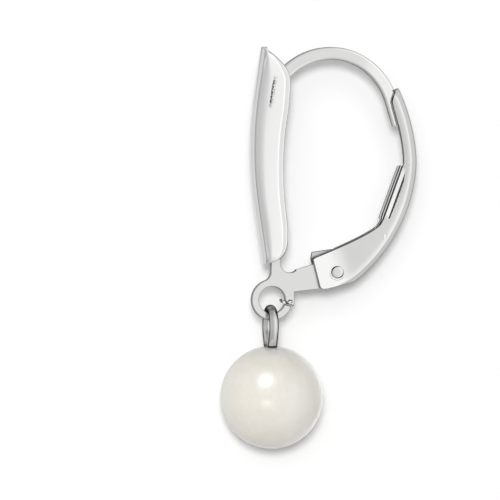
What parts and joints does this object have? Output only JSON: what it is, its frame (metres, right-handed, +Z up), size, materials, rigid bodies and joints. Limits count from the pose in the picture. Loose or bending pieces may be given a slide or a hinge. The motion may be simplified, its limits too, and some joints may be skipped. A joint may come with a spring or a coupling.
{
  "type": "leverback earring",
  "caption": "Leverback earring with a bowed front bar, a curved ear wire that snaps into a sprung lever, and a round pearl hanging from a ring.",
  "frame": {"origin": "the crown of the ear wire's inner curve, where the pierced ear carries the earring", "axes": "+Z up, -Y towards the viewer of the front bar, +Y towards the back of the ear and the lever, +X across the thickness"},
  "size_m": [0.0064, 0.0125, 0.0254],
  "materials": {
    "white_gold": "polished white gold",
    "lever_gold": "polished white gold",
    "spring_metal": "satin spring metal with a milled seat",
    "loop_metal": "polished wire",
    "pearl": "creamy white nacre"
  },
  "bodies": {
    "frame": {"frame": "white_gold"},
    "lever": {"lever": "lever_gold", "rivet": "lever_gold", "leaf_spring": "spring_metal"},
    "drop": {"eye_loop": "loop_metal", "pearl": "pearl"}
  },
  "joints": [
    {"name": "lever_pivot", "type": "hinge", "parent": "frame", "child": "lever", "pos_m": [0, 0.00037, -0.01347], "axis": [-1, 0, 0], "range_deg": [0, 75]},
    {"name": "drop_swing", "type": "hinge", "parent": "frame", "child": "drop", "pos_m": [0, -0.00377, -0.01575], "axis": [1, 0, 0], "range_deg": [-70, 50]}
  ]
}
